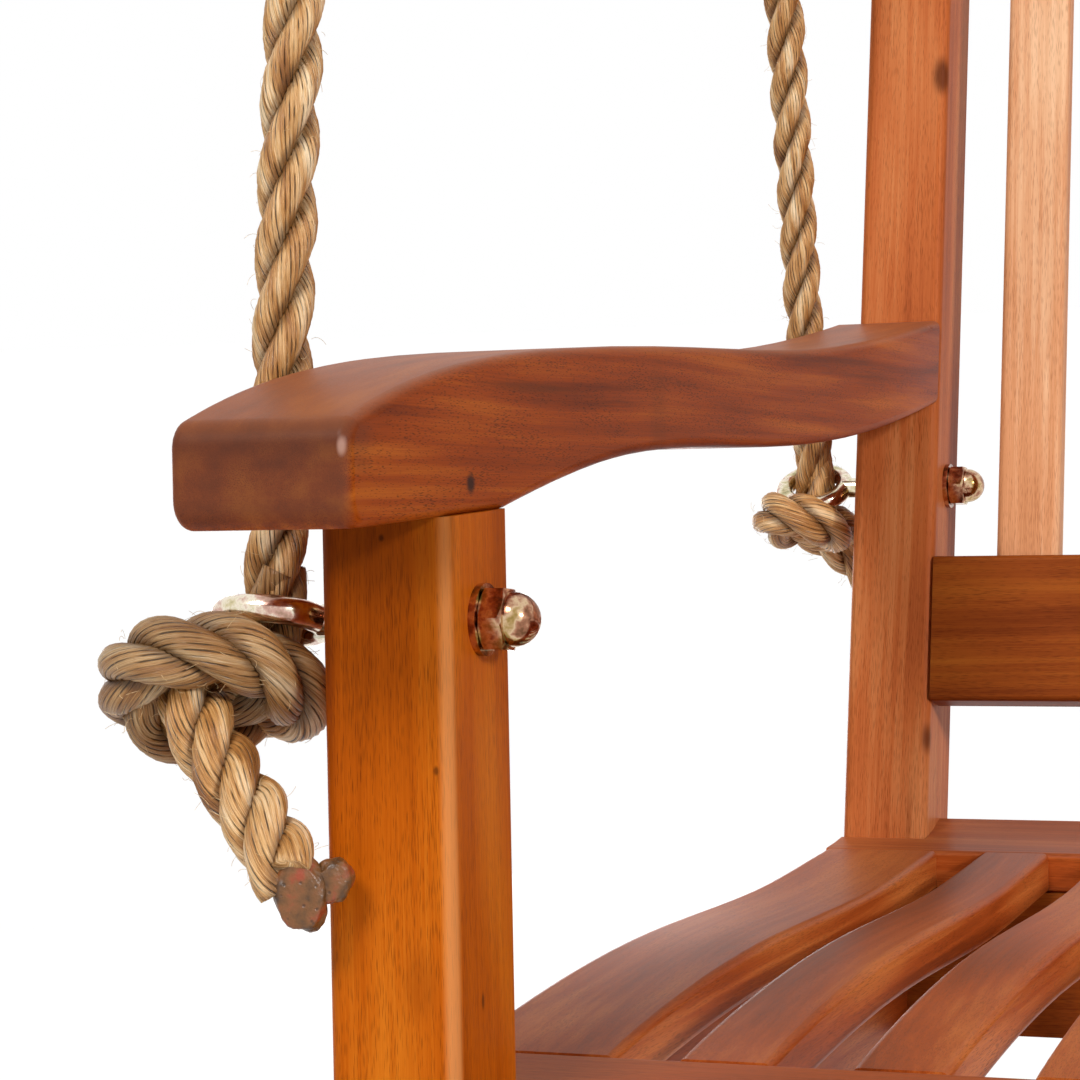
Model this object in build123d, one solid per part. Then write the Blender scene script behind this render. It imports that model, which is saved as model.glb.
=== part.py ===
"""Two-seat slatted porch swing, hung on ropes from two ceiling hangers.

Millimetres, +Z up. The origin is midway between the two hangers, on the ceiling
face of their plates. The swing faces -Y, and "left" is the -X side.

The timber frame is set out in its own bench frame: X across the seat, Y back from
the front face of the front posts, and Z up from the front eye bolts. The function
hang() then places it as it hangs, leaning back a little under its own weight.
"""
from build123d import *
import math
import os

# ---- driving dimensions ----------------------------------------------------
seat_width = 1230        # over the outside faces of the posts
post_width = 34          # posts, measured across the seat
post_depth = 42          # posts, measured front to back
post_round = 4           # rounding of the long arrises of the posts
foot_drop = 178          # bottom of the posts below the front eye bolts
recline = 11.5           # degrees, back frame from upright
back_rise = 442          # top of the rear posts, along the post from eye level

seat_depth = 477         # front edge of the front board to rear edge of the rear board
seat_drop = 107          # rear board below the front eye bolts
board = 15               # thickness of the seat boards and slats
front_board = 43         # front board, front to back
rear_board = 51          # rear board, front to back
side_board = 44          # end boards, across the seat
rear_notch = 26          # how deep the rear board is notched round the rear posts
apron = 22               # thickness of the aprons under the boards
side_inset = 12          # side aprons inside the posts' outer faces
slat_width = 25.5
slat_margin = 74.6       # outside face of the seat to the middle of the first slat
slat_count = 24
edge_round = 2.2         # rounding of board and slat arrises
tenon = 9                # length of the stub tenons
tenon_thick = 7
fit = 0.1                # clearance round tenons and dowels

arm_width = 45
arm_seat = 26            # underside of the arm over the front post, above the eye bolts
arm_nose = 56            # how far the arm runs out in front of the post
nose_round = 7
arm_round = 3

back_rail = 58.6         # height of both back rails
rail_thick = 20
low_rail_top = 3.3       # top of the lower back rail, along the post from eye level
top_rail_inset = 6       # top rail below the tops of the rear posts
back_slat_width = 25.2
back_slat_thick = 12
back_slat_inset = 4      # face of the back slats behind the face of the rails
back_slat_margin = 71    # outside face of the seat to the middle of the first back slat
back_slat_count = 21

shank = 8                # eye bolts
eye_wire = 7.2
eye_bore = 18
eye_out = 22             # middle of the eye outside the post
rear_eye_rise = 31       # rear eye bolts above the front ones
front_eye_tilt = -17     # degrees, the eyes lean towards their ropes
rear_eye_tilt = 32
washer_outer = 18
washer_thick = 1.8
nut_flats = 15
nut_hex = 6.3            # height of the hexagon
nut_height = 13.6
nut_dome = 13.6
nut_turn = 25            # degrees, a corner of each hexagon faces forwards
hole_play = 0.3          # holes for the shanks, over the shank

screw_diameter = 4.5
screw_head = 9
screw_length = 50
screw_edge = 9.5         # first screws below the underside of the front board
screw_pitch = 16
plug_diameter = 10
plug_depth = 6
dowel_diameter = 8
dowel_length = 40
dowel_pitch = 20

rope = 16                # diameter of the three-strand rope
knot_long = 66           # knot under an eye, along its long way
knot_thick = 34
knot_out = 16            # middle of a front knot outside its eye
rear_knot_lean = 22      # degrees, the rear knots lie askew under their eyes
seat_gap = 0.3           # play where hung pieces bear on each other
ring_wire = 10
ring_radius = 25         # to the middle of the wire
seizing_height = 36
seizing_wall = 2
seizing_drop = 18        # ring's lower wire to the top of the seizing
seizing_lead = 8         # seizing to the point where the two ropes part

plate_length = 120
plate_width = 40
plate_thick = 5
plate_hole = 9
plate_hole_pitch = 90
staple_wire = 10
staple_radius = 12       # inside the bend
pivot_drop = 36          # swing axis below the ceiling
pivot_rise = 1345        # swing axis above the front eye bolts
pivot_back = 260         # swing axis behind the front face of the front posts
hang_tilt = 4.72         # degrees, how far the hung frame leans back

# ---- places worked out from them -------------------------------------------
half = seat_width / 2
lean = math.tan(math.radians(recline))
rear_edge = post_depth + seat_depth
rear_face = rear_edge - rear_notch + seat_drop * lean   # rear post's face at eye level
slat_front = post_depth + front_board
slat_rear = rear_edge - rear_board
eye_x = half + eye_out
eye_ring = (eye_bore + eye_wire) / 2
front_eye_y = post_depth / 2
rear_eye_y = rear_face + rear_eye_rise * lean + post_depth / 2 / math.cos(math.radians(recline))
turn_radius = ring_wire / 2 + rope / 2 + seat_gap

bench = Pos(0, 0, -pivot_drop) * Rot(-hang_tilt, 0, 0) * Pos(0, -pivot_back, -pivot_rise)
back_frame = Pos(0, rear_face, 0) * Rot(-recline, 0, 0)
nodes = {}


def hang(name, shape):
    """Keep one node of the bench frame, placed as it hangs."""
    nodes[name] = bench * shape


def hang_pair(name, shape):
    """Keep a left-hand piece and its mirror image."""
    hang(name + "_left", shape)
    hang(name + "_right", mirror(shape, about=Plane.YZ))


def long_edges(shape, length):
    return shape.edges().filter_by(lambda edge: edge.length > length)


def block(x0, x1, y0, y1, z0, z1):
    middle = Pos((x0 + x1) / 2, (y0 + y1) / 2, (z0 + z1) / 2)
    return middle * Box(x1 - x0, y1 - y0, z1 - z0)


# ---- seat: one contoured band, cut into boards and slats ---------------------
seat_shape = [(0, -18.5), (0.09, -11.6), (0.19, -7), (0.42, -3.2), (0.7, -5.6), (0.87, -3.2),
              (0.95, -0.9), (1, 4)]
seat_line = Spline(*[(0, post_depth + share * seat_depth, rise - seat_drop)
                     for share, rise in seat_shape])


def seat_height(y):
    """Height of the seat surface at a distance from the front."""
    low, high = 0.0, 1.0
    for _ in range(30):
        middle = (low + high) / 2
        if (seat_line @ middle).Y < y:
            low = middle
        else:
            high = middle
    return (seat_line @ low).Z


def seat_band(width, y0, y1):
    """A board of the seat: its contour between two distances, centred on X = 0."""
    under = seat_line.moved(Location((0, 0, -board)))
    ends = [Line(seat_line @ t, under @ t) for t in (0, 1)]
    face = make_face([seat_line, under] + ends)
    band = extrude(face, amount=width / 2, both=True, dir=(1, 0, 0))
    return band & block(-width, width, y0, y1, -seat_drop - 60, -seat_drop + 60)


def stub(width, y, play=0.0):
    """A stub tenon across the joint at y, or its mortise when it has play."""
    middle = Pos(0, y, seat_height(y) - board / 2)
    return middle * Box(width - 6 + 2 * play, 2 * (tenon + play), tenon_thick + 2 * play)


def with_tenons(piece, width):
    ends = [stub(width, y) & block(-width, width, y - tenon, y + tenon, -400, 0)
            for y in (slat_front, slat_rear)]
    return piece + ends[0] + ends[1]


slat_pitch = (seat_width - 2 * slat_margin) / (slat_count - 1)
slat_x = [-half + slat_margin + slat_pitch * i for i in range(slat_count)]
slat = seat_band(slat_width, slat_front, slat_rear)
slat = fillet(long_edges(slat, seat_depth / 2), edge_round)
slat = with_tenons(slat, slat_width)
hang("seat_slats", Compound([Pos(x, 0, 0) * slat for x in slat_x]))

end_x = half - side_board / 2
end_board = seat_band(side_board, slat_front, slat_rear)
end_board = fillet(long_edges(end_board, seat_depth / 2), edge_round)
hang_pair("seat_end_board", Pos(-end_x, 0, 0) * with_tenons(end_board, side_board))


def mortises(y):
    cuts = [Pos(x, 0, 0) * stub(slat_width, y, fit) for x in slat_x]
    return cuts + [Pos(x, 0, 0) * stub(side_board, y, fit) for x in (-end_x, end_x)]


# ---- posts and aprons --------------------------------------------------------
def rear_post_blank():
    post = Box(post_width, post_depth, back_rise + foot_drop + 20,
               align=(Align.MIN, Align.MIN, Align.MAX))
    post = fillet(post.edges().filter_by(Axis.Z), post_round)
    post = fillet(post.edges().group_by(Axis.Z)[-1], post_round)
    post = back_frame * Pos(-half, 0, back_rise) * post
    return post & block(-half - 5, -half + post_width + 5, 0, 2 * rear_face, -foot_drop, 2 * back_rise)


front_post = block(-half, -half + post_width, 0, post_depth, -foot_drop, arm_seat + 14)
front_post = fillet(front_post.edges().filter_by(Axis.Z), post_round)
rear_post = rear_post_blank()
square_rear_post = back_frame * block(-half, -half + post_width, 0, post_depth, -2 * foot_drop, back_rise)

front_rail = seat_band(seat_width, post_depth, slat_front)
front_rail = fillet(long_edges(front_rail, seat_width / 2).group_by(Axis.Y)[0], edge_round)
front_rail = front_rail - mortises(slat_front)
rear_rail = seat_band(seat_width, slat_rear, rear_edge)
rear_rail = fillet(long_edges(rear_rail, seat_width / 2).group_by(Axis.Y)[-1], edge_round)
rear_rail = rear_rail - mortises(slat_rear)
rear_rail = rear_rail - [square_rear_post, mirror(square_rear_post, about=Plane.YZ)]

seat_blank = seat_band(seat_width + 20, post_depth, rear_edge)
front_apron = block(-half, half, post_depth, post_depth + apron, -foot_drop, -seat_drop)
front_apron = (front_apron - seat_blank).solids().sort_by(Axis.Z)[0]
apron_top = -seat_drop + 10
rear_apron = back_frame * block(-half, half, -apron, 0, -2 * foot_drop, -seat_drop + 20)
rear_apron = rear_apron & block(-half, half, 0, rear_edge, -foot_drop, -seat_drop - board / 2)
rear_apron = (rear_apron - seat_blank).solids().sort_by(Axis.Z)[0]
side_apron = block(-half + side_inset, -half + side_inset + apron, post_depth + apron, rear_edge,
                   -foot_drop, -seat_drop)
side_apron = (side_apron - seat_blank).solids().sort_by(Axis.Z)[0]
behind = back_frame * block(-half - 5, half, -apron, 400, -2 * foot_drop, 0)
side_apron = (side_apron - behind).solids().sort_by(Axis.Y)[0]

# ---- arms --------------------------------------------------------------------
arm_reach = rear_face + (arm_seat + 71) * lean
arm_top = [(-arm_nose, 21.3), (-16, 31.5), (30, 38.5), (86, 43.2), (0.37 * arm_reach, 48.2),
           (0.61 * arm_reach, 52.4), (0.77 * arm_reach, 58.4), (arm_reach, 72.3),
           (arm_reach + 60, 81)]
arm_under = [(-arm_nose, -2.8), (post_depth, 1.2), (84, 8.3), (130, 14.2), (0.37 * arm_reach, 17.8),
             (0.54 * arm_reach, 18.8), (0.69 * arm_reach, 21.8), (0.88 * arm_reach, 30.8),
             (arm_reach, 39.2), (arm_reach + 60, 47)]


def arm_curve(points):
    return Spline(*[(0, y, arm_seat + z) for y, z in points])


def arm_line(points):
    return Polyline(*[(0, y, arm_seat + z) for y, z in points])


upper = arm_curve(arm_top)
lower = arm_curve(arm_under[1:])
heel = arm_line(arm_under[:2])
ends = [Line(upper @ 0, heel @ 0), Line(upper @ 1, lower @ 1)]
arm_blank = extrude(make_face([upper, lower, heel] + ends), amount=arm_width, dir=(1, 0, 0))
arm_blank = Pos(-half + post_width - arm_width, 0, 0) * arm_blank
nose_edges = arm_blank.edges().filter_by(Axis.X).group_by(Axis.Y)[0]
arm_blank = fillet(nose_edges, nose_round)
post_plane = Plane(origin=(0, rear_face, 0), x_dir=(1, 0, 0), z_dir=(0, 1, -lean))
arm_blank = split(arm_blank, bisect_by=post_plane, keep=Keep.BOTTOM)
front_post = front_post - arm_blank
arm = fillet(long_edges(arm_blank, 1.5 * arm_width), arm_round)

dowel_x = -half + post_width / 2
dowel_y = [post_depth / 2 - dowel_pitch / 2, post_depth / 2 + dowel_pitch / 2]
dowels = [Pos(dowel_x, y, arm_seat) * Cylinder(dowel_diameter / 2, dowel_length) for y in dowel_y]
dowel_holes = [Pos(dowel_x, y, arm_seat) * Cylinder(dowel_diameter / 2 + fit, dowel_length + 2)
               for y in dowel_y]
arm = arm - dowel_holes
front_post = front_post - dowel_holes

# ---- back frame ----------------------------------------------------------------
rail_end = half - post_width
slat_inner = [back_slat_inset, back_slat_inset + back_slat_thick]
low_rail_base = low_rail_top - back_rail
top_rail_base = back_rise - top_rail_inset - back_rail
back_pitch = (seat_width - 2 * back_slat_margin) / (back_slat_count - 1)
back_x = [-half + back_slat_margin + back_pitch * i for i in range(back_slat_count)]


def back_slat(play=0.0):
    """A back slat, or the pocket for it when it has play."""
    width = back_slat_width / 2 + play
    return block(-width, width, slat_inner[0] - play, slat_inner[1] + play,
                 low_rail_top - tenon - play, top_rail_base + tenon + play)


def back_rail_solid(base):
    rail = block(-rail_end, rail_end, 0, rail_thick, base, base + back_rail)
    rail = fillet(rail.edges().filter_by(Axis.X), edge_round)
    rail = rail - [Pos(x, 0, 0) * back_slat(fit) for x in back_x]
    return rail + [rail_tenon(base, side) for side in (-1, 1)]


def rail_tenon(base, side, play=0.0):
    middle = Pos(side * rail_end, rail_thick / 2, base + back_rail / 2)
    return middle * Box(2 * (tenon + play), tenon_thick + 2 * play, back_rail - 16 + 2 * play)


rails = {"back_rail_lower": low_rail_base, "back_rail_top": top_rail_base}
for rail_name, rail_base in rails.items():
    hang(rail_name, back_frame * back_rail_solid(rail_base))
    rear_post = rear_post - back_frame * rail_tenon(rail_base, -1, fit)
slim_slat = back_slat()
slim_slat = fillet(slim_slat.edges().filter_by(Axis.Z), 3)
hang("back_slats", Compound([back_frame * Pos(x, 0, 0) * slim_slat for x in back_x]))

# ---- eye bolts, washers and cap nuts ---------------------------------------------
def eye_bolt(tilt):
    """Eye centred on the origin, its shank along +X through the post."""
    reach = eye_out + post_width + washer_thick + nut_height - 5
    eye = Rot(tilt, 0, 0) * Torus(eye_ring, eye_wire / 2)
    stem = Pos(eye_ring, 0, 0) * Rot(0, 90, 0) * Cylinder(
        shank / 2, reach - eye_ring, align=(Align.CENTER, Align.CENTER, Align.MIN))
    return eye + stem


def washer():
    return Rot(0, 90, 0) * (Cylinder(washer_outer / 2, washer_thick) - Cylinder(shank / 2 + fit, 10))


def cap_nut():
    """Cap nut along +X, its seat on X = 0."""
    hexagon = extrude(RegularPolygon(nut_flats / 2, 6, major_radius=False), amount=nut_hex)
    face = nut_flats / 2 - 0.2
    wide = face + nut_hex / math.tan(math.radians(30))
    upright = (Align.CENTER, Align.CENTER, Align.MIN)
    hexagon = hexagon & Cone(wide, face, nut_hex, align=upright)
    hexagon = hexagon & Cone(face, wide, nut_hex, align=upright)
    straight = nut_height - nut_hex - nut_dome / 2
    neck = Pos(0, 0, nut_hex) * Cylinder(nut_dome / 2, straight, align=upright)
    dome = Pos(0, 0, nut_hex + straight) * Sphere(nut_dome / 2)
    dome = dome & block(-20, 20, -20, 20, nut_hex, 2 * nut_height)
    bore = Cylinder(shank / 2 + 0.03, nut_height - 4, align=upright)
    return Rot(0, 90, 0) * (hexagon + neck + dome - bore)


bolts, washers, nuts = [], [], []
eye_places = [(front_eye_y, 0, front_eye_tilt), (rear_eye_y, rear_eye_rise, rear_eye_tilt)]
for eye_y, eye_z, tilt in eye_places:
    at_eye = Pos(-eye_x, eye_y, eye_z)
    inner_face = Pos(-half + post_width, eye_y, eye_z)
    bolts.append(at_eye * eye_bolt(tilt))
    washers.append(Pos(-half - washer_thick / 2, eye_y, eye_z) * washer())
    washers.append(Pos(washer_thick / 2, 0, 0) * inner_face * washer())
    nuts.append(Pos(washer_thick, 0, 0) * inner_face * Rot(nut_turn, 0, 0) * cap_nut())
    hole = Pos(-half, eye_y, eye_z) * Rot(0, 90, 0) * Cylinder((shank + hole_play) / 2, 4 * post_width)
    front_post = front_post - hole
    rear_post = rear_post - hole


def both_sides(shapes):
    return Compound(shapes + [mirror(shape, about=Plane.YZ) for shape in shapes])


hang("eye_bolts", both_sides(bolts))
hang("washers", both_sides(washers))
hang("cap_nuts", both_sides(nuts))

# ---- wood screws and their plugs -------------------------------------------------
def wood_screw():
    """Screw along +Z with its head's face on Z = 0."""
    straight = screw_length - 2 * screw_diameter
    outline = Polyline((0, 0), (screw_head / 2, 0), (screw_head / 2, 0.6),
                       (screw_diameter / 2, 3.2), (screw_diameter / 2, straight),
                       (0, screw_length), (0, 0))
    return revolve(Plane.XZ * make_face(outline), Axis.Z)


def screw_place(x, y, z, turn):
    """A screw sunk under its plug, entering a face at a place along +Y or -Y."""
    entry = Pos(x, y, z) * Rot(turn, 0, 0)
    screw = entry * Pos(0, 0, plug_depth) * wood_screw()
    plug = entry * Cylinder(plug_diameter / 2, plug_depth, align=(Align.CENTER, Align.CENTER, Align.MIN))
    return screw, plug


post_x = -half + post_width / 2
front_under = seat_drop - seat_shape[0][1] + board
screw_room = foot_drop - front_under - 2 * screw_edge
screw_count = 1 + int(screw_room / screw_pitch)
screw_rows = [front_under + screw_edge + screw_pitch * i for i in range(screw_count)]
front_screws = [screw_place(post_x, 0, -row, -90) for row in screw_rows]
rear_screws = []
for row in screw_rows:
    back_y = rear_face - row * lean + post_depth / math.cos(math.radians(recline))
    rear_screws.append(screw_place(post_x, back_y, -row, 90))
arm_mid = arm_seat + 55
arm_back_y = rear_face + arm_mid * lean + post_depth / math.cos(math.radians(recline))
arm_screw = screw_place(post_x, arm_back_y, arm_mid, 90)
for screw, plug in front_screws:
    front_post = front_post - screw - plug
    front_apron = front_apron - screw - mirror(screw, about=Plane.YZ)
for screw, plug in rear_screws:
    rear_post = rear_post - screw - plug
    rear_apron = rear_apron - screw - mirror(screw, about=Plane.YZ)
rear_post = rear_post - arm_screw[0] - arm_screw[1]
arm = arm - arm_screw[0]
fastened = front_screws + rear_screws + [arm_screw]
hang("wood_screws", both_sides([screw for screw, plug in fastened]))
plugs = [plug for screw, plug in fastened]
hang("screw_plugs", both_sides(plugs))
hang("arm_dowels", both_sides(dowels))
hang_pair("front_post", front_post)
hang_pair("rear_post", rear_post)
hang_pair("arm", arm)
hang("seat_front_board", front_rail)
hang("seat_rear_board", rear_rail)
hang("front_apron", front_apron)
hang("rear_apron", rear_apron)
hang_pair("side_apron", side_apron)

# ---- ceiling hangers, rings and seizings -------------------------------------------
pivot = Pos(-eye_x, 0, -pivot_drop)
plate = Pos(-eye_x, 0, -plate_thick / 2) * Box(plate_width, plate_length, plate_thick)
plate = fillet(plate.edges().filter_by(Axis.Z), 6)
for end in (-1, 1):
    plate = plate - Pos(-eye_x, end * plate_hole_pitch / 2, 0) * Cylinder(plate_hole / 2, 4 * plate_thick)
leg = staple_radius + staple_wire / 2
bend_z = -pivot_drop - ring_wire / 2 - seat_gap + staple_radius
staple_path = Line((0, -leg, -plate_thick), (0, -leg, bend_z))
staple_path = staple_path + ThreePointArc((0, -leg, bend_z), (0, 0, bend_z - leg), (0, leg, bend_z))
staple_path = staple_path + Line((0, leg, bend_z), (0, leg, -plate_thick))
staple = sweep(Plane(origin=(0, -leg, -plate_thick), z_dir=(0, 0, -1)) * Circle(staple_wire / 2),
               path=staple_path)
staple = Pos(-eye_x, 0, 0) * staple
ring = pivot * Pos(0, 0, -ring_radius) * Rot(90, 0, 0) * Torus(ring_radius, ring_wire / 2)


def pair(name, shape):
    nodes[name + "_left"] = shape
    nodes[name + "_right"] = mirror(shape, about=Plane.YZ)


pair("ceiling_plate", plate)
pair("ceiling_staple", staple)
pair("hanger_ring", ring)

# ---- ropes ---------------------------------------------------------------------------
ring_base = -pivot_drop - 2 * ring_radius
turn_top = ring_base + turn_radius
seizing_top = ring_base - ring_wire / 2 - seizing_drop
seizing_base = seizing_top - seizing_height
seizing_middle = (seizing_top + seizing_base) / 2
part_z = seizing_base - seizing_lead


def hung(x, y, z):
    """A point of the bench frame as it hangs."""
    return (bench * Pos(x, y, z)).position


def tube(name, points, radii):
    """A plain rope along a route, with its length and volume printed."""
    path = FilletPolyline(*points, radius=radii) if radii else Line(*points)
    solid = sweep(Plane(origin=path @ 0, z_dir=path % 0) * Circle(rope / 2), path=path)
    section = math.pi * rope ** 2 / 4
    print(name, "length", round(path.length, 1), "radii", [round(r, 1) for r in radii],
          "volume ratio", round(solid.volume / section / path.length, 4))
    return solid


def turn(a, b, c):
    """Largest arc at b that leaves a tenth of the shorter run straight."""
    before = Vector(*b) - Vector(*a)
    after = Vector(*c) - Vector(*b)
    half_turn = math.radians(before.get_angle(after)) / 2
    return 0.45 * min(before.length, after.length) / math.tan(half_turn)


def leg_start(eye_y, eye_z, top):
    """Where a rope enters its knot, on the line from the ring through the eye."""
    eye = hung(-eye_x, eye_y, eye_z)
    away = (eye - Vector(*top)).normalized()
    return tuple(eye + away * (eye_wire / 2 + knot_thick / 4))


front_part = (-eye_x, -turn_radius, part_z)
rear_part = (-eye_x, turn_radius, part_z)
front_route = [leg_start(front_eye_y, 0, front_part), front_part,
               (-eye_x, -turn_radius, turn_top), (-eye_x, turn_radius, turn_top),
               (-eye_x, turn_radius, seizing_middle)]
rear_route = [leg_start(rear_eye_y, rear_eye_rise, rear_part), rear_part,
              (-eye_x, turn_radius, seizing_middle)]
around_ring = turn_radius - 0.05
front_rope = tube("front rope", front_route, [turn(*front_route[:3]), around_ring, around_ring])
rear_rope = tube("rear rope", rear_route, [turn(*rear_route)])
for point in front_route + rear_route:
    print("route point", [round(value, 1) for value in point])
pair("rope_front", front_rope)
pair("rope_rear", rear_rope)

binding = SlotOverall(2 * turn_radius + rope + 2 * seizing_wall, rope + 2 * seizing_wall)
seizing = Pos(-eye_x, 0, seizing_base) * Rot(0, 0, 90) * extrude(binding, amount=seizing_height)
pair("seizing", seizing - front_rope - rear_rope)


def knot():
    """A tight stopper knot as an egg with its long way on X."""
    half_egg = Ellipse(knot_long / 2, knot_thick / 2) & Pos(0, knot_thick / 2) * Rectangle(knot_long, knot_thick)
    return revolve(half_egg, Axis.X)


knot_drop = eye_wire / 2 + seat_gap + knot_thick / 2
under_front_eye = Pos(-eye_x, front_eye_y, 0) * Rot(front_eye_tilt, 0, 0)
front_knot = under_front_eye * Pos(-knot_out, 0, -knot_drop) * knot()
askew = math.radians(rear_eye_tilt - rear_knot_lean)
rear_drop = knot_drop + eye_ring * math.sin(askew)
under_rear_eye = Pos(-eye_x, rear_eye_y, rear_eye_rise) * Rot(rear_knot_lean, 0, 0)
rear_knot = under_rear_eye * Pos(0, 0, -rear_drop) * Rot(0, 0, 90) * knot()
hang_pair("rope_knot_front", front_knot)
hang_pair("rope_knot_rear", rear_knot)

front_tail = [(-40, -10, -19), (-35, -19, -33), (-24, -25, -49), (-11, -28, -60), (2, -30, -66)]
rear_tail = [(-18, 30, -24), (-8, 34, -36), (2, 35, -50), (7, 31, -66), (9, 24, -84)]
tails = {"front": (front_tail, front_eye_y), "rear": (rear_tail, rear_eye_y)}
for place, (offsets, eye_y) in tails.items():
    rise = rear_eye_rise if place == "rear" else 0
    points = [tuple(hung(-half + x, eye_y + y, rise + z)) for x, y, z in offsets]
    radii = [turn(*points[i:i + 3]) for i in range(len(points) - 2)]
    pair("rope_tail_" + place, tube(place + " tail", points, radii))
    for point in points:
        print("tail point", [round(value, 1) for value in point])

os.makedirs("parts", exist_ok=True)
for name, shape in nodes.items():
    shape.label = name
    export_step(shape, f"parts/{name}.step")
print(len(nodes), "nodes")
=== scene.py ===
# %% [markdown]
# # A porch swing, dressed
# A slatted acacia bench hangs from the ceiling by two legs of rope a side. Every timber,
# bolt and ring is already there as an exact solid, so this lesson adds what a solid model
# lacks: the laid rope and its knots, the twine, the oiled timber and the plated steel.

# %% Load the frame
import math

import bmesh
import bpy
import numpy as np
from mathutils import Matrix, Vector, noise


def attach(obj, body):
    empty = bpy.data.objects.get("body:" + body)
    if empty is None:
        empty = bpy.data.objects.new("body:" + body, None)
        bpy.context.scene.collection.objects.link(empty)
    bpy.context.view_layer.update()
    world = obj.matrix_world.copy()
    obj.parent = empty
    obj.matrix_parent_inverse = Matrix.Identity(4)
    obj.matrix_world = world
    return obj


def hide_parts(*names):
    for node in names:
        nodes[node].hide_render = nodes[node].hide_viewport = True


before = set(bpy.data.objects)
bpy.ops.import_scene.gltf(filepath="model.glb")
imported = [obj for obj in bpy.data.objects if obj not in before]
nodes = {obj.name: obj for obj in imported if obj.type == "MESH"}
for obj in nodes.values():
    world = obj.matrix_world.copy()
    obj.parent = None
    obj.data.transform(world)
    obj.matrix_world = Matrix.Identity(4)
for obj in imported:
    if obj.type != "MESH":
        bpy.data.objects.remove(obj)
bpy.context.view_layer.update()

# %% [markdown]
# ## The bench frame
# The timber was set out level and square, then hung: it leans back by a few degrees
# under its own weight. Places could all be written in the room's frame, but the bench's
# own frame keeps the numbers simple, with X across the seat, Y back from the front posts
# and Z up from the front eyes, in millimetres.

# %% Bench frame
MM = 0.001
PIVOT_DROP, PIVOT_RISE, PIVOT_BACK = 36, 1345, 260
HANG_TILT = math.radians(4.72)
RECLINE = math.radians(11.5)
EYE_X = 637
FRONT_EYE = (-EYE_X, 21, 0)
REAR_EYE = (-EYE_X, 542.5, 31)

hang = (Matrix.Translation((0, 0, -PIVOT_DROP)) @ Matrix.Rotation(-HANG_TILT, 4, "X")
        @ Matrix.Translation((0, -PIVOT_BACK, -PIVOT_RISE)))
hang_turn = hang.to_3x3()
bench_x = Vector((1, 0, 0))
bench_y = hang_turn @ Vector((0, 1, 0))
bench_z = hang_turn @ Vector((0, 0, 1))
back_z = hang_turn @ Vector((0, math.sin(RECLINE), math.cos(RECLINE)))


def hung(x, y, z):
    """A point of the bench frame, given in millimetres, as it hangs, in metres."""
    return (hang @ Vector((x, y, z))) * MM


print("front eye hangs at", hung(*FRONT_EYE), "and the rear one at", hung(*REAR_EYE))

# %% [markdown]
# ## The camera
# A long lens close to the left front corner looks along the arm. The camera is placed
# in the bench frame too, so that its turn and dip are read against the seat. The plain
# Standard view shows a colour as it is written.

# %% Camera
CAMERA_AT = (-313.05, -655.03, 29.92)
CAMERA_TURN, CAMERA_DIP, CAMERA_ROLL = 20.45, 0.84, -1.11
SENSOR, LENS = 36, 98.77
CAMERA_NEAR = 10 * MM

scene = bpy.context.scene
scene.view_settings.view_transform = "Standard"
camera_data = bpy.data.cameras.new("camera")
camera_data.sensor_width = SENSOR
camera_data.lens = LENS
camera_data.clip_start = CAMERA_NEAR
camera = bpy.data.objects.new("camera", camera_data)
scene.collection.objects.link(camera)
turned = Matrix.Rotation(math.radians(CAMERA_TURN), 4, "Z")
dipped = Matrix.Rotation(math.radians(90 - CAMERA_DIP), 4, "X")
rolled = Matrix.Rotation(math.radians(CAMERA_ROLL), 4, "Z")
camera.matrix_world = Matrix.Translation(hung(*CAMERA_AT)) @ hang_turn.to_4x4() @ turned @ dipped @ rolled
scene.camera = camera
print("camera at", camera.matrix_world.translation)

# %% [markdown]
# ## Following a route
# A rope is a fixed length of something flexible, so it is drawn in two steps. A few
# control points give its route, and a smooth NURBS line runs between them. Everything
# else, strands and knots alike, then follows points read back from that one line.

# %% Routes
ROUTE_FINENESS = 24
ROUTE_ORDER = 3


def meshed(curve):
    """A curve's mesh under the curve's own name. The curve itself is cleared away."""
    holder = bpy.data.objects.new(curve.name, curve)
    mesh = bpy.data.meshes.new_from_object(holder)
    mesh.name = curve.name
    bpy.data.objects.remove(holder)
    bpy.data.curves.remove(curve)
    return mesh


def new_curve(name):
    """An empty curve in space."""
    curve = bpy.data.curves.new(name, "CURVE")
    curve.dimensions = "3D"
    return curve


def route(name, points):
    """Points along a smooth line through a route's control points."""
    curve = new_curve(name)
    curve.resolution_u = ROUTE_FINENESS
    spline = curve.splines.new("NURBS")
    spline.points.add(len(points) - 1)
    for point, place in zip(spline.points, points):
        point.co = (*place, 1)
    spline.order_u = ROUTE_ORDER
    spline.use_endpoint_u = True
    mesh = meshed(curve)
    line = np.array([vertex.co[:] for vertex in mesh.vertices])
    bpy.data.meshes.remove(mesh)
    return line


def distance_along(line):
    """How far each point of a line is from its start, along it."""
    steps = np.linalg.norm(np.diff(line, axis=0), axis=1)
    return np.concatenate([[0], np.cumsum(steps)])


def evenly(line, step):
    """The same line with points about a step apart."""
    along = distance_along(line)
    places = np.linspace(0, along[-1], max(3, round(along[-1] / step)))
    return np.stack([np.interp(places, along, line[:, axis]) for axis in range(3)], axis=1)


trial = evenly(route("trial", [(0, 0, 0), (0, 0, 0.5), (0, 0.5, 1)]), 100 * MM)
print("a trial route of", len(trial), "points is", round(distance_along(trial)[-1], 3), "m long")

# %% [markdown]
# ## A frame that doesn't twist
# Strands turn round the rope's line, so each point needs two directions across it. Taking
# them from the bend of the line would flip them wherever the bend changes side. Instead
# one direction is carried along, and only what points along the line is taken off it.

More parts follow.
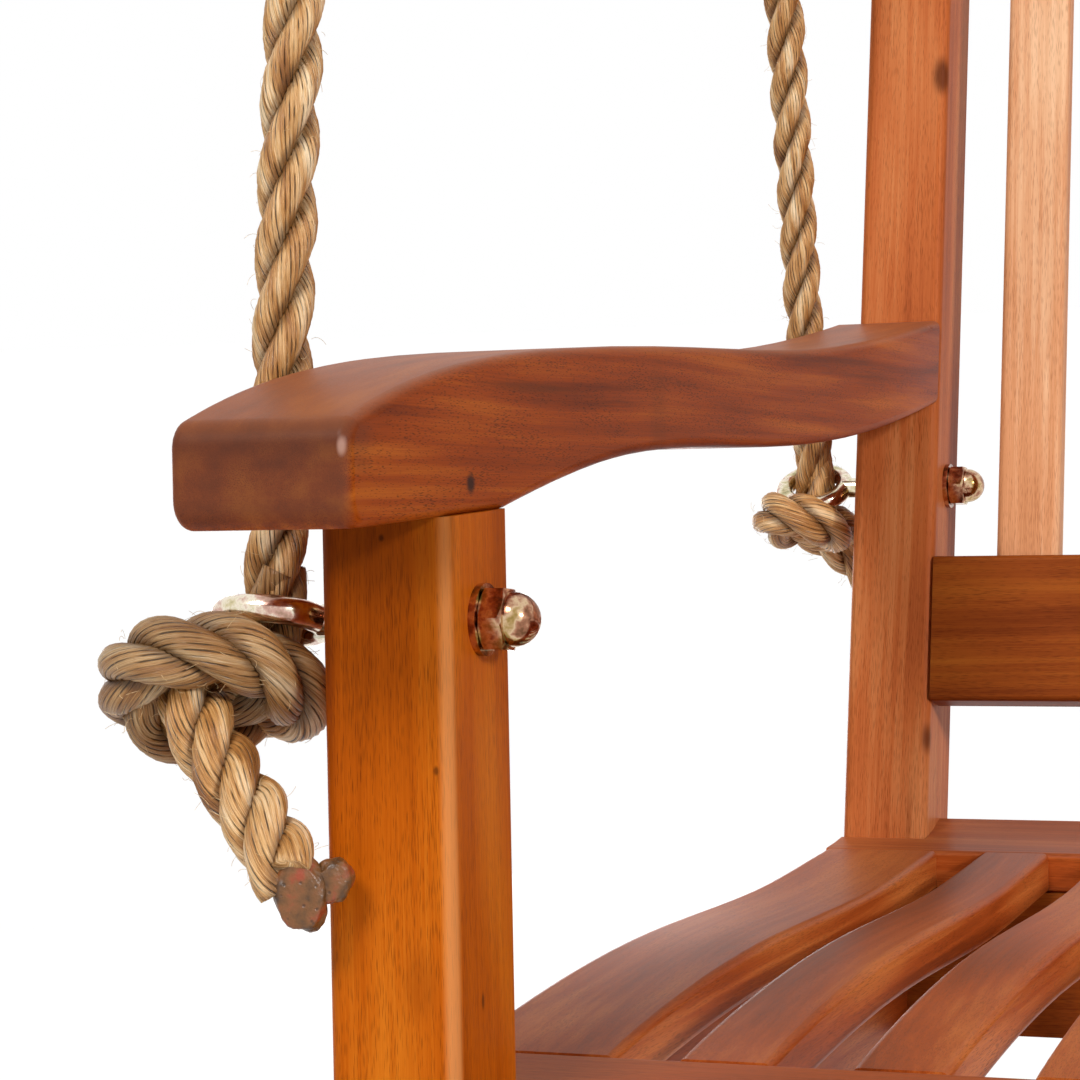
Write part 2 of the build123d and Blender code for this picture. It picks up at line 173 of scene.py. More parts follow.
# %% Carried frame
def unit(vectors):
    """The same directions, each one unit long."""
    return vectors / np.linalg.norm(vectors, axis=-1, keepdims=True)


def carried_frame(line):
    """Tangent, normal and binormal along a line, carried from the seat's width without twist."""
    tangents = unit(np.gradient(line, axis=0))
    normal = np.array(bench_x)
    normals = []
    for tangent in tangents:
        normal = unit(normal - tangent * normal.dot(tangent))
        normals.append(normal)
    normals = np.array(normals)
    return tangents, normals, np.cross(tangents, normals)


tangents, normals, _ = carried_frame(trial)
print("the most that a carried normal leans along its line", abs((tangents * normals).sum(axis=1)).max())

# %% [markdown]
# ## Three-strand rope
# Hawser-laid rope is three strands twisted together, and each strand is a bundle of
# yarns twisted the other way, which is why the yarns seem to run straight down the
# rope. A bump pattern on a plain tube would leave the outline smooth, so the strands
# and their yarns are geometry. A flat grid with its UVs is rolled round each strand's
# own line, and every second column of it is the crest of a yarn.

# %% Rope sizes
ROPE = 16 * MM
STRANDS = 3
STRAND_RADIUS = 0.247 * ROPE
STRAND_GIRTH = 2 * math.pi * STRAND_RADIUS
STRAND_OUT = ROPE / 2 - STRAND_RADIUS
LAY = 60 * MM
YARNS = 17
YARN_COLUMNS = 2 * YARNS
YARN_DEPTH = 0.34 * MM
YARN_SLOPE = 1.0
YARN_WANDER, WANDER_SPACING = 0.15 * MM, 22 * MM
WELD = 0.001 * MM
chance = np.random.default_rng(7)
print("strand radius in millimetres", round(STRAND_RADIUS / MM, 3), "yarns a strand", YARNS)


# %% Strands
def yarn_tracks(along):
    """How far each yarn strays in or out at each point along the rope."""
    count = max(3, int(along[-1] / WANDER_SPACING) + 2)
    draws = chance.normal(0, YARN_WANDER, (YARNS, count))
    # reading the draws off between their own places takes the points off their peaks
    between = np.linspace(0, count - 1, 2 * count)
    eased = [np.interp(between, np.arange(count), row) for row in draws]
    stations = np.linspace(0, along[-1], 2 * count)
    return np.array([np.interp(along, stations, row) for row in eased])


def flat_strands(name, rows):
    """A mesh of one flat grid a strand, and its points as shares of the grid's sides."""
    bm = bmesh.new()
    bm.loops.layers.uv.new("rope")
    for _ in range(STRANDS):
        bmesh.ops.create_grid(bm, x_segments=YARN_COLUMNS, y_segments=rows, size=0.5, calc_uvs=True)
    mesh = bpy.data.meshes.new(name)
    bm.to_mesh(mesh)
    bm.free()
    points = np.zeros(len(mesh.vertices) * 3)
    mesh.vertices.foreach_get("co", points)
    return mesh, points.reshape(STRANDS, -1, 3) + 0.5


def rolled_strand(grid, line, out, girth, along):
    """A grid's points rolled round one strand, and how squarely each of them faces outwards."""
    middle = line + out * (STRAND_OUT * girth)[:, None]
    heading = unit(np.gradient(middle, axis=0))
    out = unit(out - heading * (out * heading).sum(axis=1)[:, None])
    side = np.cross(heading, out)
    column = np.rint(grid[:, 0] * YARN_COLUMNS).astype(int)
    row = np.rint(grid[:, 1] * (len(line) - 1)).astype(int)
    relief = np.where(column % 2 == 0, 0, -YARN_DEPTH)
    strays = yarn_tracks(along)[(column // 2) % YARNS, row]
    radius = STRAND_RADIUS * girth[row] + relief + strays
    yarn_turn = -along * YARN_SLOPE / STRAND_RADIUS
    around = column * 2 * math.pi / YARN_COLUMNS + yarn_turn[row]
    points = (middle[row] + out[row] * (radius * np.cos(around))[:, None]
              + side[row] * (radius * np.sin(around))[:, None])
    return points, np.cos(around)


def close_strands(mesh, length):
    """Join each strand's seam, cap its ends, and stretch its UVs to the rope's length."""
    bm = bmesh.new()
    bm.from_mesh(mesh)
    uv = bm.loops.layers.uv["rope"]
    for face in bm.faces:
        face.smooth = True
        for loop in face.loops:
            loop[uv].uv.y *= length / STRAND_GIRTH
    bmesh.ops.remove_doubles(bm, verts=bm.verts, dist=WELD)
    bmesh.ops.holes_fill(bm, edges=[edge for edge in bm.edges if edge.is_boundary], sides=0)
    bmesh.ops.recalc_face_normals(bm, faces=bm.faces)
    bm.to_mesh(mesh)
    bm.free()


# %% Laid rope
def linked(name, mesh):
    """A new object in the scene, with its place in its mesh."""
    piece = bpy.data.objects.new(name, mesh)
    scene.collection.objects.link(piece)
    return piece


def laid_rope(name, line, lay, phase, girth=1.0):
    """A three-strand rope along a line. lay and girth may change from point to point."""
    along = distance_along(line)
    twist = phase + np.cumsum(np.diff(along, prepend=0) * 2 * math.pi / lay)
    girth = np.broadcast_to(girth, len(line))
    _, normals, binormals = carried_frame(line)
    mesh, grids = flat_strands(name, len(line) - 1)
    places = np.zeros_like(grids)
    crests = np.zeros(grids.shape[:2])
    for strand, grid in enumerate(grids):
        angle = (twist + strand * 2 * math.pi / STRANDS)[:, None]
        out = normals * np.cos(angle) + binormals * np.sin(angle)
        places[strand], crests[strand] = rolled_strand(grid, line, out, girth, along)
    mesh.vertices.foreach_set("co", places.ravel())
    mesh.attributes.new("crest", "FLOAT", "POINT").data.foreach_set("value", crests.ravel())
    close_strands(mesh, along[-1])
    piece = linked(name, mesh)
    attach(piece, "swing")
    print(name, "length", round(along[-1], 4), "faces", len(mesh.polygons))
    return piece


# %% [markdown]
# ## The hanging legs
# One leg a side goes up from the front eye, over the steel ring, and down to the twine
# seizing. The other goes up from the rear eye into the same seizing. The swing is empty,
# so each stiff leg stands up from its eye before it leans to the ring.

# %% Leg routes
FRONT_RISE = [(18.7, -11.9), (21, 0), (40, 160), (56, 250), (90, 400), (125.5, 560), (155.3, 700)]
REAR_RISE = [(545, 19), (542.5, 31), (508, 231), (488, 330), (452, 480), (413.5, 640), (376, 800)]
FRONT_TOP = [(-34, -235), (-13.3, -153), (-13.3, -72.7), (13.3, -72.7), (13.3, -127)]
REAR_TOP = [(24, -235), (13.3, -153), (13.3, -127)]
LEG_STEP = 2 * MM
SIDES = {"left": -1, "right": 1}
PHASES = {"front": 1.0, "rear": 2.0}


def leg_route(rise, top, side):
    """A leg's control points in metres: its rise is in the bench's frame, its top is not."""
    risen = [tuple(hung(side * EYE_X, y, z)) for y, z in rise]
    return risen + [(side * EYE_X * MM, y * MM, z * MM) for y, z in top]


legs, leg_lines = {}, {}
for side_name, side in SIDES.items():
    for place, rise, top in (("front", FRONT_RISE, FRONT_TOP), ("rear", REAR_RISE, REAR_TOP)):
        name = f"rope_{place}_{side_name}"
        line = evenly(route(name, leg_route(rise, top, side)), LEG_STEP)
        piece = laid_rope(f"laid_{name}", line, LAY, PHASES[place])
        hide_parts(name)
        legs[place, side_name], leg_lines[place, side_name] = piece, line

# %% [markdown]
# ## Stopper knots
# Each end is tied in an overhand knot that jams under the eye. The rope comes down through the eye, turns out
# and back across itself, goes round behind, and comes out through its own loop. A simulation could pull it
# tight, but a listed route keeps every crossing where it is wanted. It is written as seen from the front
# corner: first number to the right, second up, third towards the eye of the beholder.

# %% Knot routes
FRONT_KNOT = [(0.9, 12.7, 0), (0.3, 5, 0), (-0.6, -5, -4), (-2.1, -13.4, -8), (-5.5, -20.7, -10),
              (-12.3, -26, -10), (-20.4, -28, -9), (-28, -27, -9), (-33.4, -23, -8), (-36.6, -17.6, -4),
              (-36.1, -12.8, 4), (-31.3, -8, 11), (-22.2, -6.3, 14), (-11.1, -6, 14), (-1.6, -9.8, 11),
              (5.7, -17.4, 4), (6.3, -21.9, -6), (-0.4, -22.4, -15), (-9.4, -21, -16), (-17.7, -17.9, -10),
              (-20.9, -17.2, 0), (-20.4, -20.6, 6), (-16.6, -29, 11), (-9.6, -38.4, 18), (-2.7, -47.5, 26),
              (2.9, -55.5, 33), (6.3, -60.9, 37)]
REAR_KNOT = [(0, 20, 0), (0.3, 7.8, 0), (1.5, -2.7, -6), (-0.2, -11, -12), (-6.6, -16.4, -12),
             (-13.7, -15.8, -8), (-18, -11.5, 0), (-15.3, -9.4, 8), (-6.5, -11.2, 12), (2.7, -14.7, 10),
             (9.2, -17, 2), (10.2, -18, -8), (4.4, -17.5, -17), (-2.1, -15.3, -20), (-4.8, -13, -18),
             (0.8, -17.5, -24), (10.5, -24, -24), (22, -33.3, -26), (31.8, -48, -28)]
SEEN_FROM = math.radians(CAMERA_TURN)


def knot_point(eye, point, side):
    """A knot's point, set off from its eye and turned into the bench frame."""
    right, up, near = point
    x = right * math.cos(SEEN_FROM) + near * math.sin(SEEN_FROM)
    y = right * math.sin(SEEN_FROM) - near * math.cos(SEEN_FROM)
    place = hung(eye[0] + x, eye[1] + y, eye[2] + up)
    return (-side * place.x, place.y, place.z)


print("route points of a front knot", len(FRONT_KNOT), "and of a rear one", len(REAR_KNOT))

# %% [markdown]
# ## Tying the knots
# A rope that is bent hard is twisted tighter and opens a little, and a loose tail opens
# too. So both the lay and the girth change along each knot, at shares of its length.

# %% Tied knots
KNOT_STEP = 1.3 * MM
LAY_AT, LAYS = (0, 0.15, 0.65, 1), (LAY, 50 * MM, 50 * MM, 42 * MM)
GIRTH_AT = (0, 0.1, 0.2, 0.7, 0.8, 1)
KNOTS = {"front": (FRONT_EYE, FRONT_KNOT, 1.2, 1.16), "rear": (REAR_EYE, REAR_KNOT, 1.2, 1.1)}

knots, knot_lines = {}, {}
for side_name, side in SIDES.items():
    for place, (eye, points, knot_girth, tail_girth) in KNOTS.items():
        name = f"rope_knot_{place}_{side_name}"
        line = evenly(route(name, [knot_point(eye, point, side) for point in points]), KNOT_STEP)
        share = np.linspace(0, 1, len(line))
        lay = np.interp(share, LAY_AT, LAYS)
        girth = np.interp(share, GIRTH_AT, (1, 1, knot_girth, knot_girth, tail_girth, tail_girth))
        piece = laid_rope(f"tied_{place}_{side_name}", line, lay, -PHASES[place], girth)
        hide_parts(name, f"rope_tail_{place}_{side_name}")
        knots[place, side_name], knot_lines[place, side_name] = piece, line

# %% [markdown]
# ## Melted ends
# The rope is cut with a hot knife, so each loose end is a hard brown button of melted
# fibre, pitted by bubbles. A ball is squashed to the button's size and dented by slow
# noise, with its flat face towards the knife. The front ends have run into two buttons.

# %% Melted ends
FRONT_BUTTONS = [((8.4, -64, 38.5), (6.6, 9.6, 4.6), 0.15), ((16.2, -61, 37.5), (4.8, 5.6, 4), -0.3)]
REAR_BUTTONS = [((31.8, -48, -28), (8, 8, 5), 0.0)]
# how many times each noise turns in the ball's radius, and how deep it dents it
SLOW_TURNS, SLOW_DENT = 1.7, 0.16
QUICK_TURNS, QUICK_DENT = 6, 0.035
CUT_FACE, CUT_CROWN = 0.5, 0.25


def melted_button(name, eye, side, centre, reach, lean):
    """A squashed, dented ball in a knot's own right, up and near directions."""
    bm = bmesh.new()
    bmesh.ops.create_icosphere(bm, subdivisions=5, radius=1)
    middle = Vector(centre)
    for vertex in bm.verts:
        place = vertex.co.copy()
        dent = noise.noise(place * SLOW_TURNS + middle) * SLOW_DENT
        dent += noise.noise(place * QUICK_TURNS + middle) * QUICK_DENT
        place *= 1 + dent
        place.z = min(place.z, CUT_FACE + CUT_CROWN * place.z)
        x, y = place.x * reach[0], place.y * reach[1]
        right = x * math.cos(lean) - y * math.sin(lean)
        up = x * math.sin(lean) + y * math.cos(lean)
        vertex.co = knot_point(eye, middle + Vector((right, up, place.z * reach[2])), side)
    bmesh.ops.recalc_face_normals(bm, faces=bm.faces)
    for face in bm.faces:
        face.smooth = True
    mesh = bpy.data.meshes.new(name)
    bm.to_mesh(mesh)
    bm.free()
    piece = linked(name, mesh)
    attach(piece, "swing")
    return piece


buttons = {}
for side_name, side in SIDES.items():
    for place, eye, shapes in (("front", FRONT_EYE, FRONT_BUTTONS), ("rear", REAR_EYE, REAR_BUTTONS)):
        for i, (centre, reach, lean) in enumerate(shapes):
            piece = melted_button(f"melted_{place}_{side_name}_{i + 1}", eye, side, centre, reach, lean)
            buttons.setdefault((place, side_name), []).append(piece)
print("melted ends", sum(len(pieces) for pieces in buttons.values()))

# %% [markdown]
# ## Loose fibres
# Handling pulls single fibres out of a rope, and they catch the light round a knot. A
# particle system would grow them too, but it leaves no mesh of its own, so each is a thin
# curve that is rooted in the rope and bends as it goes. The curve is then made a mesh.

# %% Loose fibres
FIBRE_RADIUS = 0.05 * MM
FIBRE_POINTS = 6
FIBRE_SHORTEST, FIBRE_LONGEST = 2, 7
FIBRE_STAND, FIBRE_STRAY = 0.6, 0.3
KNOT_ROOT, KNOT_FIBRES = 8.6 * MM, 220
LEG_ROOT, LEG_FIBRES = 7.2 * MM, 130
HANDLED_STEPS = 110


def loose_fibres(name, line, root, count):
    """Stray fibres along a rope's line, rooted at a distance from it."""
    curve = new_curve(name)
    curve.bevel_depth = FIBRE_RADIUS
    curve.bevel_resolution = 0
    curve.use_fill_caps = True
    tangents, normals, binormals = carried_frame(line)
    for _ in range(count):
        i = int(chance.integers(2, len(line) - 2))
        angle = chance.uniform(0, 2 * math.pi)
        out = normals[i] * math.cos(angle) + binormals[i] * math.sin(angle)
        lying = tangents[i] * chance.uniform(-1, 1)
        heading = unit(out * FIBRE_STAND + lying + chance.normal(0, FIBRE_STRAY, 3))
        bend = chance.normal(0, FIBRE_STRAY, 3)
        step = chance.uniform(FIBRE_SHORTEST, FIBRE_LONGEST) * MM / FIBRE_POINTS
        place = line[i] + out * root
        spline = curve.splines.new("POLY")
        spline.points.add(FIBRE_POINTS - 1)
        for point in spline.points:
            point.co = (*place, 1)
            place = place + heading * step
            heading = unit(heading + bend)
    piece = linked(name, meshed(curve))
    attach(piece, "swing")
    return piece


fuzz = []
for side_name in SIDES:
    for place in KNOTS:
        knot_line = knot_lines[place, side_name]
        leg_start = leg_lines[place, side_name][:HANDLED_STEPS]
        fuzz.append(loose_fibres(f"fuzz_knot_{place}_{side_name}", knot_line, KNOT_ROOT, KNOT_FIBRES))
        fuzz.append(loose_fibres(f"fuzz_leg_{place}_{side_name}", leg_start, LEG_ROOT, LEG_FIBRES))
print("loose fibre pieces", len(fuzz), "faces", sum(len(piece.data.polygons) for piece in fuzz))

# %% [markdown]
# ## The ropes
# Each leg's line is looked up in turn, and the legs are counted.

for (place, side_name), piece in legs.items():
    line = leg_lines[place, side_name]
print("ropes declared", len(legs))

# %% [markdown]
# ## Twine seizings
# Waxed twine is wound tightly round both parts of the rope under each ring. Stacked
# rings would look right from afar, but a real binding is one long helix, so a curve
# winds round a rounded outline and gets its thickness from its own bevel.

# %% Seizings
TWINE = 2.2 * MM
TWINE_ROUNDNESS = 3
SEIZING_TOP, SEIZING_HEIGHT = -109.1 * MM, 36 * MM
OVAL_SPREAD, OVAL_RADIUS = 13.3 * MM, 9.1 * MM
TURN_STEPS = 40


def seizing(name, side):
    """Twine wound as a helix on an oval, each turn lying against the next."""
    steps = (round(SEIZING_HEIGHT / TWINE) - 1) * TURN_STEPS
    curve = new_curve(name)
    curve.bevel_depth = TWINE / 2
    curve.bevel_resolution = TWINE_ROUNDNESS
    curve.use_fill_caps = True
    spline = curve.splines.new("POLY")
    spline.points.add(steps)
    for i, point in enumerate(spline.points):
        angle = 2 * math.pi * i / TURN_STEPS
        x = OVAL_RADIUS * math.cos(angle)
        y = OVAL_RADIUS * math.sin(angle) + math.copysign(OVAL_SPREAD, math.sin(angle))
        z = SEIZING_TOP - TWINE / 2 - (SEIZING_HEIGHT - TWINE) * i / steps
        point.co = (side * EYE_X * MM + x, y, z, 1)
    mesh = meshed(curve)
    for face in mesh.polygons:
        face.use_smooth = True
    piece = linked(name, mesh)
    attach(piece, "swing")
    return piece


twines = []
for side_name, side in SIDES.items():
    piece = seizing(f"twine_{side_name}", side)
    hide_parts(f"seizing_{side_name}")
    twines.append(piece)
print("seizings", [piece.name for piece in twines])

# %% [markdown]
# ## Building materials
# Every finish below is a network of nodes. One helper adds a node, sets it and links
# it, and one turns a colour written in sRGB hex into the linear numbers that shaders use.
# A pattern's size is written in millimetres, and its scale is one over that size.

# %% Node and colour helpers
# a Mix node has a set of sockets for each kind of data, and these three are its colours
UNDER, OVER, MIXED = 6, 7, 2


def linear(code):
    """An sRGB hex colour as a linear RGBA."""
    values = [int(code[i:i + 2], 16) / 255 for i in (1, 3, 5)]
    values = [v / 12.92 if v <= 0.04045 else ((v + 0.055) / 1.055) ** 2.4 for v in values]
    return (*values, 1)


def repeats(size):
    """How often a pattern of this size repeats in one unit of it, along each axis."""
    return tuple(1 / length for length in size)


def add(tree, kind, inputs=None, stops=(), **settings):
    """Add a node: its own settings, its sockets' values or links, and a ramp's colour stops."""
    new = tree.nodes.new(kind)
    for key, value in settings.items():
        setattr(new, key, value)
    for key, value in (inputs or {}).items():
        if isinstance(value, bpy.types.NodeSocket):
            tree.links.new(value, new.inputs[key])
        else:
            new.inputs[key].default_value = value
    for i, (place, code) in enumerate(stops):
        ramp = new.color_ramp.elements
        element = ramp[i] if i < 2 else ramp.new(place)
        element.position = place
        element.color = linear(code)
    return new


def new_material(name):
    """An empty material with its output, its shader and its tree."""
    material = bpy.data.materials.new(name)
    material.use_nodes = True
    tree = material.node_tree
    tree.nodes.clear()
    shader = add(tree, "ShaderNodeBsdfPrincipled")
    add(tree, "ShaderNodeOutputMaterial", {"Surface": shader.outputs[0]})
    return material, tree, shader


def dress(material, *pieces):
    """Give pieces this material and no other."""
    for piece in pieces:
        piece.data.materials.clear()
        piece.data.materials.append(material)
    print(material.name, "dresses", [piece.name for piece in pieces])


print("mid grey in linear light", round(linear("#808080")[0], 3))

# %% [markdown]
# ## The run of the grain
# Acacia's grain runs along each timber, so every pattern in it has to be laid that way.
# UVs would do, but no timber has them, so a Mapping node turns the object's coordinates
# until their third axis lies along the piece, in millimetres. In a row of slats each one
# is its own stick, so its grain and its tone are shifted by a random amount of its own.

# %% Grain
IN_MM = (1 / MM, 1 / MM, 1 / MM)
SLAT_SHIFT = (300, 300, 900)
BEND_SIZE, BEND_REACH = (70, 70, 260), (10, 10, 0)


def grain_turn(side, along):
    """The turn that lays a timber's side on the first axis and its grain on the third."""
    along = Vector(along).normalized()
    side = (Vector(side) - along * along.dot(side)).normalized()
    return Matrix((side, along.cross(side), along)).to_euler("XYZ")


def slat_shift(tree, place, pitch, first):
    """A shift for each slat of a row, drawn by its number across the seat."""
    x = add(tree, "ShaderNodeSeparateXYZ", {0: place}).outputs["X"]
    number = add(tree, "ShaderNodeMath", {0: x, 1: first * MM}, operation="SUBTRACT").outputs[0]
    number = add(tree, "ShaderNodeMath", {0: number, 1: pitch * MM}, operation="DIVIDE").outputs[0]
    number = add(tree, "ShaderNodeMath", {0: number}, operation="ROUND").outputs[0]
    drawn = add(tree, "ShaderNodeTexWhiteNoise", {"W": number}, noise_dimensions="1D").outputs["Color"]
    return add(tree, "ShaderNodeVectorMath", {0: drawn, 1: SLAT_SHIFT}, operation="MULTIPLY").outputs[0]


def grain_space(tree, place, turn, start, row):
    """Coordinates along a timber: straight ones for its pores, and bent ones for its fibres."""
    straight = add(tree, "ShaderNodeMapping", {"Vector": place, "Rotation": turn, "Scale": IN_MM,
                                               "Location": start}).outputs[0]
    if row:
        shift = slat_shift(tree, place, *row)
        straight = add(tree, "ShaderNodeVectorMath", {0: straight, 1: shift}, operation="ADD").outputs[0]
    slow = add(tree, "ShaderNodeMapping", {"Vector": straight, "Scale": repeats(BEND_SIZE)}).outputs[0]
    bend = add(tree, "ShaderNodeTexNoise", {"Vector": slow, "Scale": 1, "Detail": 1}).outputs["Color"]
    bend = add(tree, "ShaderNodeVectorMath", {0: bend, 1: BEND_REACH}, operation="MULTIPLY").outputs[0]
    bent = add(tree, "ShaderNodeVectorMath", {0: straight, 1: bend}, operation="ADD").outputs[0]
    return straight, bent


print("post grain turned by", grain_turn(bench_x, bench_z))

# %% [markdown]
# ## Tone and pores
# Three layers of noise make up the tone: soft clouds of redder and lighter wood, long
# streaks, and fine fibres. Acacia also has open pores, which show as short dark dashes
# along the grain, crowded in some patches and few in others. Real pores are 0.1 to
# 0.2 mm wide, and they are drawn up to half as wide again, so that they still show.

# %% Tone and pores
CLOUD_SIZE = (26, 26, 130)
STREAK_SIZE, STREAK_SHARE = (3, 3, 320), 0.5
FINE_SIZE, FINE_SHARE = (0.4, 0.4, 30), 0.4
TONE_SPREAD = 0.3
PATCH_SIZE = (9, 9, 40)
PORE_WIDTH, PORE_LENGTH = 0.3, 6
PORE_LEAST, PORE_MOST = 0.24, 0.46


def wood_tone(tree, bent, tones, cloud_size):
    """The wood's colour between three tones, and its fine fibres by themselves."""
    layers = []
    for size, detail, roughness in ((cloud_size, 1, 0.4), (STREAK_SIZE, 2, 0.55), (FINE_SIZE, 2, 0.6)):
        laid = add(tree, "ShaderNodeMapping", {"Vector": bent, "Scale": repeats(size)}).outputs[0]
        layers.append(add(tree, "ShaderNodeTexNoise", {"Vector": laid, "Scale": 1, "Detail": detail,
                                                       "Roughness": roughness}).outputs[0])
    cloud, streak, fine = layers
    tone = add(tree, "ShaderNodeMath", {0: streak, 1: STREAK_SHARE, 2: cloud},
               operation="MULTIPLY_ADD").outputs[0]
    tone = add(tree, "ShaderNodeMath", {0: fine, 1: FINE_SHARE, 2: tone},
               operation="MULTIPLY_ADD").outputs[0]
    middle = (1 + STREAK_SHARE + FINE_SHARE) / 2
    scaled = add(tree, "ShaderNodeMapRange", {"Value": tone, "From Min": middle - TONE_SPREAD,
                                              "From Max": middle + TONE_SPREAD}).outputs[0]
    dark, mid, light = tones[:3]
    colour = add(tree, "ShaderNodeValToRGB", {"Fac": scaled},
                 [(0.0, dark), (0.5, mid), (1.0, light)]).outputs[0]
    return colour, fine


def open_pores(tree, straight, share, length):
    """How much of a pore's dark colour shows at each point."""
    patch = add(tree, "ShaderNodeMapping", {"Vector": straight, "Scale": repeats(PATCH_SIZE)}).outputs[0]
    patch = add(tree, "ShaderNodeTexNoise", {"Vector": patch, "Scale": 1, "Detail": 1}).outputs[0]
    widest = add(tree, "ShaderNodeMapRange", {"Value": patch, "From Min": 0.3, "From Max": 0.7,
                                              "To Min": PORE_LEAST, "To Max": PORE_MOST}).outputs[0]
    size = (PORE_WIDTH, PORE_WIDTH, length)
    cell = add(tree, "ShaderNodeMapping", {"Vector": straight, "Scale": repeats(size)}).outputs[0]
    cell = add(tree, "ShaderNodeTexVoronoi", {"Vector": cell, "Scale": 1}).outputs["Distance"]
    pore = add(tree, "ShaderNodeMath", {0: cell, 1: widest}, operation="DIVIDE").outputs[0]
    return add(tree, "ShaderNodeMapRange", {"Value": pore, "From Min": 0.5, "From Max": 1.0,
                                            "To Min": share, "To Max": 0.0}).outputs[0]


print("pores in millimetres", PORE_WIDTH, "by", PORE_LENGTH, "fibres", FINE_SIZE)

# %% [markdown]
# ## Painted sheen, end grain and knots
# Sawn ends drink more oil, which dulls and darkens them. The faces that look up are painted a greyer, rosier
# brown, as painted sheen of the bright surround. Knots, stains, painted highlights on rubbed arrises and
# painted shade are single marks: each one is a soft ball of colour, stretched by its own reach across and
# along the grain.

# %% Wear and marks
# the first colour is painted sheen on faces that look up, the second the dulled end grain
SHEEN_ROSE, PLUM = "#945E42", "#5C382A"


def dark_ends(tree, colour, normal, turn, share):
    """The colour with end grain dulled wherever a face looks along the timber."""
    turned = add(tree, "ShaderNodeMapping", {"Vector": normal, "Rotation": turn},
                 vector_type="VECTOR").outputs[0]
    facing = add(tree, "ShaderNodeSeparateXYZ", {0: turned}).outputs["Z"]
    facing = add(tree, "ShaderNodeMath", {0: facing}, operation="ABSOLUTE").outputs[0]
    facing = add(tree, "ShaderNodeMapRange", {"Value": facing, "From Min": 0.2, "From Max": 0.95,
                                              "To Max": share}).outputs[0]
    return add(tree, "ShaderNodeMix", {"Factor": facing, UNDER: colour, OVER: linear(PLUM)},
               data_type="RGBA").outputs[MIXED]


def painted_top_sheen(tree, colour, normal, share):
    """The colour with painted sheen: the faces that look up are mixed towards rose."""
    up = add(tree, "ShaderNodeSeparateXYZ", {0: normal}).outputs["Z"]
    up = add(tree, "ShaderNodeMapRange", {"Value": up, "From Min": 0.2, "From Max": 0.95,
                                          "To Max": share}).outputs[0]
    return add(tree, "ShaderNodeMix", {"Factor": up, UNDER: colour, OVER: linear(SHEEN_ROSE)},
               data_type="RGBA").outputs[MIXED]


def marked(tree, colour, place, turn, spot, reach, stain, strength):
    """The colour with one mark. Its reach is given through the side, across it and along the grain."""
    middle = tuple(hung(*spot))
    off = add(tree, "ShaderNodeVectorMath", {0: place, 1: middle}, operation="SUBTRACT").outputs[0]
    off = add(tree, "ShaderNodeMapping", {"Vector": off, "Rotation": turn}, vector_type="VECTOR").outputs[0]
    reach = tuple(length * MM for length in reach)
    off = add(tree, "ShaderNodeVectorMath", {0: off, 1: reach}, operation="DIVIDE").outputs[0]
    off = add(tree, "ShaderNodeVectorMath", {0: off}, operation="LENGTH").outputs["Value"]
    off = add(tree, "ShaderNodeMapRange", {"Value": off, "From Min": 0.3, "From Max": 1.0,
                                           "To Min": strength, "To Max": 0.0},
              interpolation_type="SMOOTHSTEP").outputs[0]
    return add(tree, "ShaderNodeMix", {"Factor": off, UNDER: colour, OVER: linear(stain)},
               data_type="RGBA").outputs[MIXED]


# %% [markdown]
# ## Oiled acacia
# Acacia is a hard orange-brown timber. It is sanded, its arrises are eased, and it is
# oiled. The oil soaks in and leaves hardly a film, so the wood has a soft, wide sheen
# and almost no mirror shine. Only the arms and the seat, which clothes and hands have
# rubbed, have a thin smoother coat on top.

# %% Oiled acacia
WOOD_SHINE = 0.04
WOOD_SMOOTHEST, WOOD_ROUGHEST = 0.36, 0.52
COAT_ROUGHNESS = 0.28
GRAIN_STRENGTH, GRAIN_DEPTH = 0.15, 0.2 * MM


def timber(name, side, along, tones, start=(0, 0, 0), row=None, cloud_size=CLOUD_SIZE, pore_share=0.5,
           pore_length=PORE_LENGTH, end_share=0, top_sheen_share=0, coat=0, marks=()):
    """Oiled acacia with its grain along one direction. row is a row of slats' pitch and first place."""
    material, tree, shader = new_material(name)
    turn = grain_turn(side, along)
    place = add(tree, "ShaderNodeTexCoord").outputs["Object"]
    normal = add(tree, "ShaderNodeNewGeometry").outputs["Normal"]
    straight, bent = grain_space(tree, place, turn, start, row)
    colour, fine = wood_tone(tree, bent, tones, cloud_size)
    pore = open_pores(tree, straight, pore_share, pore_length)
    colour = add(tree, "ShaderNodeMix", {"Factor": pore, UNDER: colour, OVER: linear(tones[3])},
                 data_type="RGBA").outputs[MIXED]
    if end_share:
        colour = dark_ends(tree, colour, normal, turn, end_share)
    # painted sheen: the faces that look up are mixed towards a rosier brown
    if top_sheen_share:
        colour = painted_top_sheen(tree, colour, normal, top_sheen_share)
    for mark in marks:
        colour = marked(tree, colour, place, turn, *mark)
    tree.links.new(colour, shader.inputs["Base Color"])
    sheen = add(tree, "ShaderNodeMapRange", {"Value": fine, "To Min": WOOD_SMOOTHEST,
                                             "To Max": WOOD_ROUGHEST}).outputs[0]
    tree.links.new(sheen, shader.inputs["Roughness"])
    shader.inputs["Specular IOR Level"].default_value = WOOD_SHINE
    shader.inputs["Coat Weight"].default_value = coat
    shader.inputs["Coat Roughness"].default_value = COAT_ROUGHNESS
    height = add(tree, "ShaderNodeMath", {0: pore, 1: -1.0, 2: fine}, operation="MULTIPLY_ADD").outputs[0]
    bump = add(tree, "ShaderNodeBump", {"Height": height, "Strength": GRAIN_STRENGTH,
                                        "Distance": GRAIN_DEPTH}).outputs[0]
    tree.links.new(bump, shader.inputs["Normal"])
    return material


# %% [markdown]
# ## The bench's timbers
# Boards of one species still differ: the posts are orange, the rails umber, the back
# slats pale and the arms a darker, redder brown. Each set of tones runs from dark to
# light, and its last colour is that of the pores. A mark is written as its place in the
# bench's frame, its reach, its colour and its strength.

